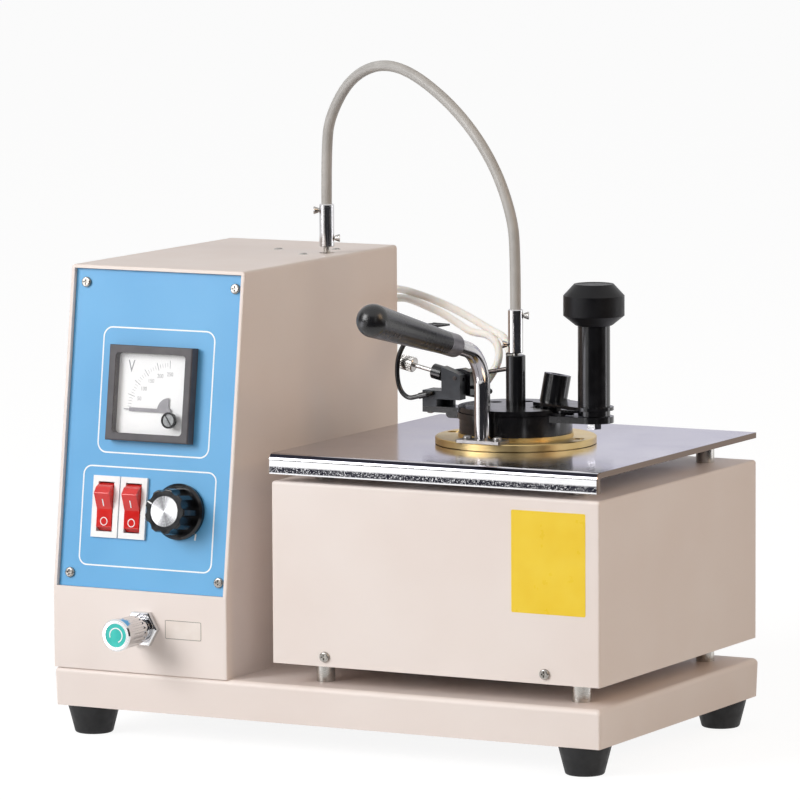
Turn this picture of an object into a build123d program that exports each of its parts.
"""Closed-cup flash point tester: a bench instrument with a stirrer drive and controls in a sloping
control box, an electric air bath in a low heater box, and a brass test cup with a hand-worked lid.

Frame: +X right, +Y to the rear, +Z up, millimetres. The origin is on the bench, under the middle of
the base tray. Every function below makes one sub-part, in its place.
"""

from build123d import *
from math import asin, atan2, cos, degrees, pi, radians, sin, tan
import os

# ---------------------------------------------------------------- general fits
RUN = 0.05  # radial clearance of a running fit
SLIP = 0.15  # clearance of a piece dropped into its hole
FREE = 0.3  # gap between pieces that move past each other

# ---------------------------------------------------------------- base tray and feet
TRAY_W = 309.5
TRAY_D = 182.8
TRAY_H = 19.7
TRAY_WALL = 2.0
TRAY_LIP = 32.0  # width of the flange turned in under the tray
TRAY_DRAFT = 2.5  # degrees that each side leans in towards the bench
TRAY_CORNER_R = 1.8
TRAY_TOP_R = 2.6
FOOT_H = 14.8
FOOT_R_TOP = 13.4
FOOT_R_BOTTOM = 9.6
FOOT_EDGE_R = 1.5
FOOT_INSET_X = 15.2
FOOT_INSET_Y = 13.7
FOOT_SCREW_R = 2.2
FOOT_RECESS_R = 4.6
FOOT_RECESS_DEPTH = 7.5

# ---------------------------------------------------------------- control box
BOX_W = 101.0
BOX_WALL = 1.5
BOX_BEND_H = 41.1  # upright part of the front, above the tray
BOX_H = 203.5
BOX_LEAN = 21.7  # how far the top front edge is set back
BOX_EDGE_R = 0.8  # down the front
BOX_TOP_R = 1.8  # along the sides of the top
PANEL_SIDE = 2.15  # of the box's front left on each side of the panel
PANEL_W = BOX_W - 2 * PANEL_SIDE
PANEL_H = 161.0
PANEL_LOW = 0.9  # the panel's lower edge above the bend
PANEL_T = 1.0
PANEL_RECESS = 3.3  # the sloping face is pressed in by this much round the panel
RECESS_GAP = 0.15  # round the panel's edge
RECESS_WALL = 0.75  # of the pressed recess, outside the panel
RECESS_FLOOR = 1.9
SCREW_HEAD_R = 2.65
SCREW_HEAD_H = 1.5
SCREW_SHANK_R = 1.4
SCREW_SHANK_L = 7.0
PANEL_SCREW_LEFT = 6.2  # from the panel's left edge
PANEL_SCREW_RIGHT = 3.8
PANEL_SCREW_INSET_Y = 6.8
LOUVRES = 7
LOUVRE_PITCH = 9.0
LOUVRE_H = 3.0
LOUVRE_W = 52.0
LOUVRE_FROM = 75.5  # lowest louvre above the tray

# ---------------------------------------------------------------- controls, in panel coordinates
METER_SIZE = 48.3
METER_WINDOW = 40.6
METER_WINDOW_R = 2.0
METER_EDGE_R = 0.8
METER_PROUD = 6.0
METER_BODY_R = 20.5
METER_BODY_D = 30.0
METER_U = 0.9  # panel coordinates are measured from the panel's centre line and the bend
METER_V = 100.1
METER_DIAL_DEPTH = 4.4  # dial face below the front of the bezel
METER_DIAL_T = 0.6
METER_GLASS_T = 1.2
METER_GLASS_SET = 0.6  # the window's face below the front of the bezel
METER_BOSS_PROUD = 0.3
METER_BOSS_BACK = 2.6
NEEDLE_CLEAR = 0.6  # needle above the dial
NEEDLE_PIVOT_U = 11.0
NEEDLE_PIVOT_V = 92.0
NEEDLE_L = 26.0
NEEDLE_TIP_L = 3.2
NEEDLE_HALF_W = 0.95
NEEDLE_FAN_R = 6.6
NEEDLE_T = 0.3
ZERO_SCREW_U = 13.5
ZERO_SCREW_V = 87.4
ZERO_SCREW_R = 3.1
ZERO_BOSS_R = 4.0
SWITCH_W = 15.3
SWITCH_L = 31.2
SWITCH_LEFT_U = -23.1
SWITCH_RIGHT_U = -7.0
SWITCH_V = 42.1
SWITCH_LIP = 1.6
SWITCH_BORDER = 2.4
SWITCH_BODY_D = 20.0
SWITCH_WELL_D = 9.0
SWITCH_WALL = 0.6
ROCKER_TILT = 14.0  # degrees either side of level
ROCKER_PIVOT_DEPTH = 3.0
ROCKER_SWEEP = 10.0  # degrees that each rounded end wall reaches past the pin's level
ROCKER_HUB_R = 2.0
ROCKER_PIN_R = 1.0
ROCKER_CREST_IN = 2.6  # crest of each wing, in from the end
ROCKER_CREST_H = 4.4
ROCKER_END_H = 1.6
ROCKER_VALLEY_H = 2.4
KNOB_U = 19.9
KNOB_V = 41.9
KNOB_SKIRT_R = 14.2
KNOB_SKIRT_H = 3.2
KNOB_BODY_R = 12.0  # crest of the lobes at the skirt
KNOB_FRONT_R = 11.4
KNOB_VALLEY_R = 10.1
KNOB_FLUTE_R = 3.6
KNOB_CAP_R = 7.9
KNOB_CAP_T = 0.8
KNOB_CAP_PROUD = 0.2
KNOB_H = 16.0
KNOB_FLUTES = 9
POT_SHAFT_R = 3.0
POT_BODY_R = 12.5
POT_BODY_D = 15.0

# ---------------------------------------------------------------- gas valve, low on the front
GAS_U = 2.05  # right of the box's centre line
GAS_Z = 57.6
GAS_NUT_AF = 17.0
GAS_NUT_T = 3.5
GAS_NECK_R = 5.4
GAS_NECK_L = 2.2
GAS_RING_R = 6.6
GAS_KNOB_R = 8.2
GAS_RIM_L = 4.2
GAS_GRIP_R = 7.7
GAS_GROOVES = 20
GAS_KNOB_L = 18.0
GAS_KNOB_REACH = 27.0
GAS_CAP_R = 6.0
GAS_STEM_R = 3.0
GAS_BODY_R = 7.0
GAS_BODY_D = 26.0

# ---------------------------------------------------------------- rear of the control box
NIPPLE_R = 2.0
NIPPLE_FLANGE_AF = 10.0
NIPPLE_REACH = 16.0
NIPPLE_BORE_R = 0.9
NIPPLE_FLANGE_T = 4.0
NIPPLE_THREAD_R = 3.0
NIPPLE_THREAD_L = 8.0
OUTER_NIPPLE_U = -8.75  # right of the box's centre line
OUTER_NIPPLE_Z = 209.0
INNER_NIPPLE_U = 8.25
INNER_NIPPLE_Z = 200.4
SUPPLY_NIPPLE_U = 32.25
SUPPLY_NIPPLE_Z = 62.0
INLET_W = 27.5
INLET_H = 20.0
INLET_D = 24.0
INLET_U = 0.25
INLET_Z = 62.0
INLET_RIM = 2.0  # of the rim past the body
INLET_RIM_T = 2.0
INLET_WALL = 2.3
INLET_SOCKET_D = 16.0
INLET_PINS = ((-7.0, -1.5), (0.0, 2.0), (7.0, -1.5))
INLET_PIN_W = 2.0
INLET_PIN_H = 4.0
INLET_PIN_IN = 5.0  # the pins' ends behind the rear panel's face

# ---------------------------------------------------------------- stirrer motor
MOTOR_SHAFT_INSET = 12.05  # in from the box's right side
MOTOR_SHAFT_Y = 37.5
MOTOR_SHAFT_R = 1.75
MOTOR_SHAFT_UP = 14.0  # above the box's top
MOTOR_HOLE_R = 4.0
MOTOR_GEAR_W = 50.0
MOTOR_GEAR_D = 44.0
MOTOR_GEAR_H = 22.0
MOTOR_GEAR_EDGE = 9.5  # from the shaft to the gear case's right side
MOTOR_CAN_R = 18.0
MOTOR_CAN_H = 38.0
MOTOR_SCREWS = ((-33.3, 8.5), (-7.8, -11.0), (-5.6, 20.0))  # from the shaft
MOTOR_SCREW_R = 2.7
MOTOR_SCREW_SHANK_R = 1.4
MOTOR_SCREW_L = 6.0
MOTOR_SCREW_SUNK = 0.1
MOTOR_SCREW_DOME = 0.6
MOTOR_SLOT_L = 4.0
MOTOR_SLOT_W = 0.7
MOTOR_SLOT_DEPTH = 0.8

# ---------------------------------------------------------------- heater box and cover plate
HEATER_X0 = -28.2
HEATER_W = 182.0
HEATER_D = 180.2
HEATER_H = 91.4
HEATER_WALL = 1.2
HEATER_EDGE_R = 1.2
HEATER_TOP_R = 1.5
HEATER_PAN_H = 14.0
POST_R = 4.7
POST_H = 10.6
PLATE_POST_H = 11.2
POST_INSET = 19.6
HEATER_SCREW_INSET = 29.8
HEATER_SCREW_Z = 4.9
PLATE_W = 182.0
PLATE_D = 182.6
PLATE_T = 2.8
PLATE_FRONT_GAP = 1.8  # the flange's face in front of the heater box
PLATE_FLANGE = 10.2
PLATE_EDGE_R = 3.4
PLATE_CORNER_R = 1.2
PLATE_HOLE_R = 30.2
BATH_R_IN = 31.5
BATH_WALL = 6.0
BATH_DEPTH = 58.0
BATH_FLOOR = 6.0
BAND_T = 5.0
BAND_H = 34.0

# ---------------------------------------------------------------- test cup, about the lid's axis
LID_X = 62.5
LID_Y = 0.0
CUP_R_IN = 25.4
CUP_WALL = 1.4
CUP_BODY_WALL = 2.3
CUP_DEPTH = 55.8
CUP_FLOOR = 2.4
FLANGE_R = 40.6
FLANGE_T = 3.4
FLANGE_FOOT_R = 38.8
FLANGE_FOOT_T = 0.3
CUP_STEP_R = 29.0
CUP_STEP_H = 1.8
CUP_NECK_H = 5.5
FLANGE_HOLE_AT = 35.0
FLANGE_HOLE_R = 1.7
FLANGE_SPOT_R = 3.2
FLANGE_SPOT_T = 0.6

# ---------------------------------------------------------------- cup handle
HANDLE_X = -0.9  # beside the cup's centre line
HANDLE_Y = -34.9
HANDLE_R = 4.0
HANDLE_CORNER_H = 42.9  # from the foot plate up to where the two straight lines meet
HANDLE_RISE = 13.5  # degrees
HANDLE_BEND_R = 22.0
HANDLE_FOOT_L = 25.0
HANDLE_FOOT_W = 11.4
HANDLE_FOOT_T = 1.6
HANDLE_SCREW_AT = 8.4
HANDLE_SCREW_R = 2.3
HANDLE_FERRULE_FROM = 29.6
HANDLE_FERRULE_L = 12.9
HANDLE_FERRULE_R = 5.9
HANDLE_IN_GRIP = 12.0  # length of tube inside the grip
GRIP_L = 74.4
GRIP_R_END = 8.2

# ---------------------------------------------------------------- lid
COLLAR_R = 28.5
COLLAR_H = 7.4
LID_R = 29.5
LID_T = 3.2
LID_WEB = 1.6  # the plate's thickness below the collar's top
ARM_L = 45.3
ARM_ANGLE = -3.5
ARM_END_R = 9.9
ARM_ROOT_HALF = 13.6
LUG_REACH = 49.9
LUG_HALF = 6.0
LUG_RISE = 0.6  # the lug's top over the lid plate's
LUG_T = 3.0
LUG_EAR_REACH = 36.6
LUG_EAR_DROP = 2.4
LUG_EAR_R = 2.2
SHUTTER_R = 29.0
SHUTTER_T = 2.5
SHUTTER_EAR_T = 1.1
SHUTTER_EAR_HALF = 4.6
SHUTTER_EAR_REACH = 36.0
SHUTTER_HUB_R = 11.0
SHUTTER_HUB_BORE = 7.0
SHUTTER_GAP_FROM = -25.0  # degrees, the open sector for the thermometer and the stem
SHUTTER_GAP_TO = 67.0
SHUTTER_SLOT_FROM = 26.5
PORT_R = 3.2
PORT_AT = 17.3
PORT_ANGLES = (180.0, 235.0, 125.0)
BRIDGE_T = 1.7
STIR_TUBE_R = 4.95
STIR_TUBE_TOP = 40.6  # above the cup flange
STIR_SHAFT_R = 1.75
STIR_SHAFT_UP = 10.0  # shaft end inside the coupling
STIR_BLADE_L = 9.0
STIR_BLADE_W = 5.5
STIR_BLADE_T = 1.2
STIR_BLADE_PITCH = 35.0  # degrees
STIR_HUB_R = 3.0
STIR_LOW = 42.0  # lower propeller below the lid plate
STIR_HIGH = 20.0
THERMO_AT = 18.7
THERMO_ANGLE = 41.5
THERMO_LEAN = 10.0
THERMO_R = 6.85
THERMO_NECK_R = 4.6
THERMO_BORE_R = 3.5
THERMO_UP = 13.2
THERMO_DOWN = 13.5

# ---------------------------------------------------------------- shutter knob
SLEEVE_R = 8.1
SLEEVE_TOP = 58.0  # above the cup flange
DRIVE_SHAFT_R = 3.0
CRANK_HUB_R = 8.1
CRANK_L = 15.5
CRANK_HALF = 3.2
CRANK_T = 1.1
CRANK_PIN_R = 1.4
CRANK_REST = 30.0  # degrees off the line of centres at rest
SLOT_GAP = 0.75
TOP_KNOB_R = 15.3
TOP_KNOB_FOOT_R = 9.3
TOP_KNOB_HEAD_R = 9.9
TOP_KNOB_LOW = 4.8
TOP_KNOB_MID = 10.0
TOP_KNOB_HIGH = 5.8
BOLT_HEAD_R = 3.9
BOLT_HEAD_H = 3.0
BOLT_SHANK_R = 1.6

# ---------------------------------------------------------------- test flame device
BRACKET_POST_W = 8.0
BRACKET_ARM_Z0 = 16.8  # heights above the cup flange
BRACKET_ARM_Z1 = 21.1
BRACKET_BACK_T = 2.4
BRACKET_BACK_REACH = 12.7
BLOCK_X0 = -39.1
BLOCK_X1 = -28.6
BLOCK_Y1 = 0.4
BLOCK_TOP_LEFT = 33.3
BLOCK_TOP_RIGHT = 30.5
BLOCK_NOSE_W = 2.3
BLOCK_NOSE_DROP = 1.1
PIVOT_X = -31.4
PIVOT_Z = 27.9
PIVOT_R = 1.1
JET_Y0 = 0.8
JET_Y1 = 6.2
JET_X1 = -26.2
JET_Z0 = 18.6
JET_INSET = 2.6  # the jet's left end from the block's left face
JET_TUBE_R = 0.9
JET_TIP_X = -15.2
JET_TIP_Z = 21.4
JET_TIP_R = 1.4
JET_TIP_Y = 1.0
GAS_ARM_Y = 10.0
GAS_ARM_R = 1.1
GAS_UNION_X = -7.4
GAS_UNION_Z = 32.6
GAS_UNION_L = 9.0
GAS_UNION_R = 1.95
FLAME_SCREW_Z = 29.2
FLAME_SCREW_Y = -2.0
FLAME_SCREW_ANGLE = 12.3  # degrees, rising to the left
FLAME_ROD_R = 1.1
FLAME_ROD_L = 17.7
FLAME_ROD_IN = 5.8
FLAME_HEAD_R = 3.85
FLAME_HEAD_L = 7.5
FLAME_GROOVES = 24
LOCK_NUT_R = 3.85
LOCK_NUT_T = 5.8
PILOT_R = 1.2
PILOT_SLEEVE_R = 1.55
PILOT_Y = -8.5  # the loop stands in this upright plane
PILOT_HOLE_X = -44.2
PILOT_HOLE_Z = 19.8

# ---------------------------------------------------------------- flexible drive
FLEX_R = 2.75
COUPLING_R = 3.85
COUPLING_L = 22.0
COUPLING_LOW_GAP = 1.0  # lower coupling above the stirrer tube
COUPLING_HIGH_GAP = 3.3  # upper coupling above the box's top
COUPLING_BORE_L = 11.5
LOW_THUMB_ANGLE = 28.0
HIGH_THUMB_ANGLE = 208.0
THUMB_NECK_R = 1.3
THUMB_R = 2.2
THUMB_HEAD_L = 2.6
THUMB_SHANK_R = 1.0
THUMB_FROM_END = 3.2
HOSE_R = 2.0

# ---------------------------------------------------------------- places worked out from the sizes
tray_top = FOOT_H + TRAY_H
front_y = -TRAY_D / 2
box_x0 = -TRAY_W / 2
box_x1 = box_x0 + BOX_W
box_mid = (box_x0 + box_x1) / 2
box_top = tray_top + BOX_H
bend_z = tray_top + BOX_BEND_H
rear_y = TRAY_D / 2
lean = atan2(BOX_LEAN, BOX_H - BOX_BEND_H)
PANEL = Plane(
    origin=(box_mid, front_y, bend_z), x_dir=(1, 0, 0), z_dir=(0, -cos(lean), sin(lean))
)
panel_face = -PANEL_RECESS + PANEL_T  # height of the panel's face over the box's front
panel_seat = -PANEL_RECESS
gas_x = box_mid + GAS_U
motor_x = box_x1 - MOTOR_SHAFT_INSET
outer_nipple_x = box_mid + OUTER_NIPPLE_U
inner_nipple_x = box_mid + INNER_NIPPLE_U
supply_nipple_x = box_mid + SUPPLY_NIPPLE_U
inlet_x = box_mid + INLET_U
motor_screw_places = [(motor_x + dx, MOTOR_SHAFT_Y + dy) for dx, dy in MOTOR_SCREWS]
heater_z0 = tray_top + POST_H
heater_z1 = heater_z0 + HEATER_H
heater_x0 = HEATER_X0
heater_x1 = HEATER_X0 + HEATER_W
heater_y0 = -HEATER_D / 2
heater_y1 = HEATER_D / 2
plate_z0 = heater_z1 + PLATE_POST_H
plate_z1 = plate_z0 + PLATE_T
flange_z = plate_z1 + FLANGE_FOOT_T + FLANGE_T
step_z = flange_z + CUP_STEP_H
neck_z = step_z + CUP_NECK_H
cup_floor_z = neck_z - CUP_DEPTH
lid_z0 = step_z + COLLAR_H
lid_z1 = lid_z0 + LID_T
lug_z1 = lid_z1 + LUG_RISE
lug_z0 = lug_z1 - LUG_T
shutter_z0 = lid_z1 + FREE
shutter_z1 = shutter_z0 + SHUTTER_T
bridge_z0 = shutter_z1 + FREE
bridge_z1 = bridge_z0 + BRIDGE_T
stem_x = LID_X + ARM_L * cos(radians(ARM_ANGLE))
stem_y = LID_Y + ARM_L * sin(radians(ARM_ANGLE))
sleeve_z1 = flange_z + SLEEVE_TOP
stir_tube_z1 = flange_z + STIR_TUBE_TOP
low_coupling_z0 = stir_tube_z1 + COUPLING_LOW_GAP
low_coupling_z1 = low_coupling_z0 + COUPLING_L
high_coupling_z0 = box_top + COUPLING_HIGH_GAP
high_coupling_z1 = high_coupling_z0 + COUPLING_L
handle_x = LID_X + HANDLE_X
handle_y = LID_Y + HANDLE_Y
handle_foot_z1 = flange_z + HANDLE_FOOT_T
handle_corner_z = handle_foot_z1 + HANDLE_CORNER_H

# Points that the flexible shaft's centre line is drawn through, in one upright plane.
FLEX_ROUTE = (
    (motor_x, MOTOR_SHAFT_Y, high_coupling_z1),
    (motor_x, MOTOR_SHAFT_Y, high_coupling_z1 + 31.1),
    (-62.5, 36.5, 309.6),
    (-49.5, 32.7, 328.1),
    (-30.9, 27.3, 337.0),
    (-10.6, 21.4, 335.5),
    (14.0, 14.2, 322.9),
    (34.7, 8.1, 306.4),
    (50.7, 3.5, 286.3),
    (60.4, 0.6, 264.1),
    (LID_X, LID_Y, low_coupling_z1 + 30.2),
    (LID_X, LID_Y, low_coupling_z1),
)


def box(x0, x1, y0, y1, z0, z1):
    """A block between two corners."""
    return Pos((x0 + x1) / 2, (y0 + y1) / 2, (z0 + z1) / 2) * Box(
        abs(x1 - x0), abs(y1 - y0), abs(z1 - z0)
    )


def rod(x, y, z0, z1, r):
    """An upright cylinder."""
    return Pos(x, y, (z0 + z1) / 2) * Cylinder(r, z1 - z0)


def bar(start, end, r):
    """A cylinder from one point to another."""
    a, b = Vector(*start), Vector(*end)
    along = Plane(origin=a, z_dir=b - a)
    return along * Pos(0, 0, (b - a).length / 2) * Cylinder(r, (b - a).length)


def turned(points, x=0.0, y=0.0, z=0.0):
    """A solid of revolution about an upright axis, from its (radius, height) outline."""
    outline = make_face(Plane.XZ * Polyline(*points, close=True))
    return Pos(x, y, z) * revolve(outline, Axis.Z)


def prism(plane, points, length):
    """An outline given on a plane's own axes, drawn out along the plane's normal."""
    face = make_face(plane * Polyline(*points, close=True))
    return extrude(face, length, dir=plane.z_dir)


def at_panel(u, v, h, shape):
    """Moves a shape made about the origin to a place on the sloping front, h above its face."""
    return PANEL.location * Pos(u, v, h) * shape


def pan_screw(head_r=SCREW_HEAD_R, head_h=SCREW_HEAD_H, shank_r=SCREW_SHANK_R, shank_l=SCREW_SHANK_L):
    """A domed screw standing on the XY plane, its shank going down."""
    head = Cylinder(head_r, head_h, align=(Align.CENTER, Align.CENTER, Align.MIN))
    head = fillet(head.edges().group_by(Axis.Z)[-1], head_h * 0.6)
    slot = head_h * 0.5
    cross = Pos(0, 0, head_h) * (
        Box(head_r * 1.1, head_r * 0.25, slot * 2) + Box(head_r * 0.25, head_r * 1.1, slot * 2)
    )
    shank = Cylinder(shank_r, shank_l, align=(Align.CENTER, Align.CENTER, Align.MAX))
    return head - cross + shank


def tube_path(points):
    """The centre line of a cord: straight runs joined by arcs as large as the runs allow."""
    runs = [(Vector(*b) - Vector(*a)) for a, b in zip(points, points[1:])]
    radii = []
    for a, b in zip(runs, runs[1:]):
        turn = radians(a.get_angle(b))
        radii.append(0.45 * min(a.length, b.length) / tan(turn / 2))
    return FilletPolyline(*points, radius=radii), radii


def cord(name, points, r, bore=0.0):
    """A round cord or hose along its route. Its arc radii and its volume are printed."""
    path, radii = tube_path(points)
    section = Plane(origin=path @ 0, z_dir=path % 0) * Circle(r)
    solid = sweep(section, path=path)
    expected = pi * r * r * path.length
    print(name, "length", round(path.length, 1), "volume ratio", round(solid.volume / expected, 5))
    print(name, "radii", [round(v, 1) for v in radii])
    return solid


def save(name, *solids):
    """Writes one sub-part, as one solid or as a group of separate ones."""
    shape = solids[0] if len(solids) == 1 else Compound(children=list(solids))
    shape.label = name
    export_step(shape, os.path.join("parts", name + ".step"))


# ================================================================ base
def foot_places():
    """Centres of the four feet."""
    x, y = TRAY_W / 2 - FOOT_INSET_X, TRAY_D / 2 - FOOT_INSET_Y
    return [(sx * x, sy * y) for sx in (-1, 1) for sy in (-1, 1)]


def base_tray():
    """Shallow pan of thick sheet, open below, with a flange turned in all round for the feet."""
    outer = Pos(0, 0, tray_top) * extrude(
        RectangleRounded(TRAY_W, TRAY_D, TRAY_CORNER_R), -TRAY_H, taper=TRAY_DRAFT
    )
    outer = fillet(outer.edges().group_by(Axis.Z)[-1], TRAY_TOP_R)
    lean_in = TRAY_H * tan(radians(TRAY_DRAFT)) + TRAY_WALL
    x, y = TRAY_W / 2 - lean_in, TRAY_D / 2 - lean_in
    hollow = box(-x, x, -y, y, FOOT_H + TRAY_WALL, tray_top - TRAY_WALL)
    x, y = x - TRAY_LIP, y - TRAY_LIP
    mouth = box(-x, x, -y, y, FOOT_H - 1, FOOT_H + TRAY_WALL)
    tray = outer - hollow - mouth
    for x, y in foot_places():
        tray -= rod(x, y, FOOT_H - 1, FOOT_H + TRAY_WALL + 1, FOOT_SCREW_R)
    return tray


def rubber_feet():
    """Four tapered rubber feet, each with a recess for its screw."""
    feet = []
    for x, y in foot_places():
        foot = turned(
            [
                (FOOT_SCREW_R, FOOT_H),
                (FOOT_R_TOP, FOOT_H),
                (FOOT_R_BOTTOM, 0),
                (FOOT_RECESS_R, 0),
                (FOOT_RECESS_R, FOOT_RECESS_DEPTH),
                (FOOT_SCREW_R, FOOT_RECESS_DEPTH),
            ],
            x,
            y,
        )
        rim = foot.edges().group_by(Axis.Z)[0].sort_by(SortBy.RADIUS)[-1]
        feet.append(fillet(rim, FOOT_EDGE_R))
    return feet


def post_places():
    """Centres of the posts under the heater box, and of those between it and the cover plate."""
    x0, x1 = heater_x0 + POST_INSET, heater_x1 - POST_INSET
    y0, y1 = heater_y0 + POST_INSET, heater_y1 - POST_INSET
    return [(x, y) for x in (x0, x1) for y in (y0, y1)]


def standoffs():
    """Turned steel posts: four carry the heater box, and four on it carry the cover plate."""
    posts = []
    for x, y in post_places():
        posts.append(rod(x, y, tray_top, heater_z0, POST_R))
        posts.append(rod(x, y, heater_z1, plate_z0, POST_R))
    return posts


# ================================================================ control box
def box_outline(inset):
    """Side view of the control box in (y, z), drawn in by the sheet's thickness."""
    slope_in = inset / cos(lean)
    y0, y1 = front_y + inset, rear_y - inset
    z0, z1 = tray_top + inset, box_top - inset
    bend = bend_z + inset * tan(lean / 2)
    top_y = front_y + (z1 - bend_z) * tan(lean) + slope_in
    return [(y0, z0), (y0, bend), (top_y, z1), (y1, z1), (y1, z0)]


def box_prism(inset, x0, x1, open_rear=0.0):
    """The control box's side view drawn out from x0 to x1."""
    points = box_outline(inset)
    if open_rear:
        points[3] = (rear_y + open_rear, points[3][1])
        points[4] = (rear_y + open_rear, points[4][1])
    return Pos(x0, 0, 0) * prism(Plane.YZ, points, x1 - x0)


def switch_places():
    """Panel coordinates of the two rocker switches."""
    return [(SWITCH_LEFT_U, SWITCH_V), (SWITCH_RIGHT_U, SWITCH_V)]


def panel_cuts():
    """Holes for the meter, the switches and the knob's shaft, through the sloping front."""
    depth = 4 * (PANEL_RECESS + RECESS_FLOOR)
    cuts = [at_panel(METER_U, METER_V, 0, Cylinder(METER_BODY_R + SLIP, depth))]
    for u, v in switch_places():
        w, l = SWITCH_W - 2 * SWITCH_BORDER + 2 * SLIP, SWITCH_L - 2 * SWITCH_BORDER + 2 * SLIP
        cuts.append(at_panel(u, v, 0, Box(w, l, depth)))
    cuts.append(at_panel(KNOB_U, KNOB_V, 0, Cylinder(POT_SHAFT_R + 1.0, depth)))
    return cuts


def panel_screw_places():
    """Panel coordinates of the four corner screws."""
    u0, u1 = -PANEL_W / 2 + PANEL_SCREW_LEFT, PANEL_W / 2 - PANEL_SCREW_RIGHT
    v0, v1 = PANEL_LOW + PANEL_SCREW_INSET_Y, PANEL_LOW + PANEL_H - PANEL_SCREW_INSET_Y
    return [(u, v) for u in (u0, u1) for v in (v0, v1)]


def control_box_shell():
    """Painted sheet housing, open at the rear, with a pressed recess in its sloping front."""
    shell = box_prism(0, box_x0, box_x1)
    on_side = [e for e in shell.edges() if abs(e.center().X - box_mid) > BOX_W / 2 - 0.01]
    along_top = [e for e in on_side if abs(e.center().Z - box_top) < 0.01]
    shell = fillet(along_top, BOX_TOP_R)
    on_side = [e for e in shell.edges() if abs(e.center().X - box_mid) > BOX_W / 2 - 0.01]
    down_front = [e for e in on_side if e.length > BOX_TOP_R * 2 and e.center().Y < front_y + BOX_LEAN]
    shell = fillet(down_front, BOX_EDGE_R)
    shell -= box_prism(BOX_WALL, box_x0 + BOX_WALL, box_x1 - BOX_WALL, open_rear=5.0)
    v = PANEL_LOW + PANEL_H / 2
    pan_w, pan_h = PANEL_W + 2 * RECESS_WALL, PANEL_H + 2 * RECESS_WALL
    pan_d = PANEL_RECESS + RECESS_FLOOR - BOX_WALL
    shell += at_panel(0, v, -BOX_WALL - pan_d / 2, Box(pan_w, pan_h, pan_d))
    mouth_w, mouth_h = PANEL_W + 2 * RECESS_GAP, PANEL_H + 2 * RECESS_GAP
    shell -= at_panel(0, v, -PANEL_RECESS / 2, Box(mouth_w, mouth_h, PANEL_RECESS))
    for cut in panel_cuts():
        shell -= cut
    for u, v in panel_screw_places():
        shell -= at_panel(u, v, 0, Cylinder(SCREW_SHANK_R + 0.1, 14))
    shell -= Pos(gas_x, front_y, GAS_Z) * Rot(90, 0, 0) * Cylinder(GAS_BODY_R + SLIP, 8)
    shell -= rod(motor_x, MOTOR_SHAFT_Y, box_top - 5, box_top + 1, MOTOR_HOLE_R)
    for x, y in motor_screw_places:
        shell -= countersunk_screw(x, y, 0.02)
    return shell


def countersunk_screw(x, y, extra=0.0):
    """Raised countersunk screw through the box's top into the gear case, or the hole for one."""
    r = MOTOR_SCREW_R + extra
    shank = MOTOR_SCREW_SHANK_R + extra
    z = box_top - MOTOR_SCREW_SUNK
    crown = [(0, MOTOR_SCREW_DOME), (r if extra else r / 2, MOTOR_SCREW_DOME), (r, 0)]
    end = -MOTOR_SCREW_L - extra
    return turned(crown + [(shank, -(r - shank)), (shank, end), (0, end)], x, y, z)


def motor_screws():
    """Three countersunk screws that hold the gear motor under the box's top."""
    screws = []
    for x, y in motor_screw_places:
        w, l = MOTOR_SLOT_W / 2, MOTOR_SLOT_L / 2
        slot = box(x - l, x + l, y - w, y + w, box_top - MOTOR_SLOT_DEPTH, box_top + 1)
        screws.append(countersunk_screw(x, y) - slot)
    return screws


def rear_nipple_places():
    """(x, z) of the nipples on the rear panel: two for the lid's hoses, and the gas supply's."""
    return [
        (outer_nipple_x, OUTER_NIPPLE_Z),
        (inner_nipple_x, INNER_NIPPLE_Z),
        (supply_nipple_x, SUPPLY_NIPPLE_Z),
    ]


def rear_panel():
    """Flat sheet that closes the back of the control box, with louvres, an inlet and gas nipples."""
    x0, x1 = box_x0 + BOX_WALL + SLIP, box_x1 - BOX_WALL - SLIP
    z0, z1 = tray_top + BOX_WALL + SLIP, box_top - BOX_WALL - SLIP
    panel = box(x0, x1, rear_y - BOX_WALL, rear_y, z0, z1)
    x0, x1 = box_mid - LOUVRE_W / 2, box_mid + LOUVRE_W / 2
    for k in range(LOUVRES):
        z = tray_top + LOUVRE_FROM + LOUVRE_PITCH * k
        panel -= box(x0, x1, rear_y - 3, rear_y + 1, z, z + LOUVRE_H)
    for x, z in rear_nipple_places():
        panel -= Pos(x, rear_y, z) * Rot(90, 0, 0) * Cylinder(NIPPLE_THREAD_R + SLIP, NIPPLE_THREAD_L)
    w, h = INLET_W / 2 + SLIP, INLET_H / 2 + SLIP
    panel -= box(inlet_x - w, inlet_x + w, rear_y - 3, rear_y + 1, INLET_Z - h, INLET_Z + h)
    return panel


def mains_inlet():
    """Moulded three-pin mains inlet pressed into the rear panel, with an open socket."""
    w, h = INLET_W / 2, INLET_H / 2
    body = box(inlet_x - w, inlet_x + w, rear_y - INLET_D, rear_y, INLET_Z - h, INLET_Z + h)
    rim = box(
        inlet_x - w - INLET_RIM, inlet_x + w + INLET_RIM, rear_y, rear_y + INLET_RIM_T,
        INLET_Z - h - INLET_RIM, INLET_Z + h + INLET_RIM
    )
    socket = box(
        inlet_x - w + INLET_WALL, inlet_x + w - INLET_WALL, rear_y - INLET_SOCKET_D, rear_y + INLET_RIM_T + 1,
        INLET_Z - h + INLET_WALL, INLET_Z + h - INLET_WALL
    )
    inlet = body + rim - socket
    for dx, dz in INLET_PINS:
        x, z = inlet_x + dx, INLET_Z + dz
        w, h = INLET_PIN_W / 2, INLET_PIN_H / 2
        inlet += box(x - w, x + w, rear_y - INLET_SOCKET_D, rear_y - INLET_PIN_IN, z - h, z + h)
    return inlet


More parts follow.
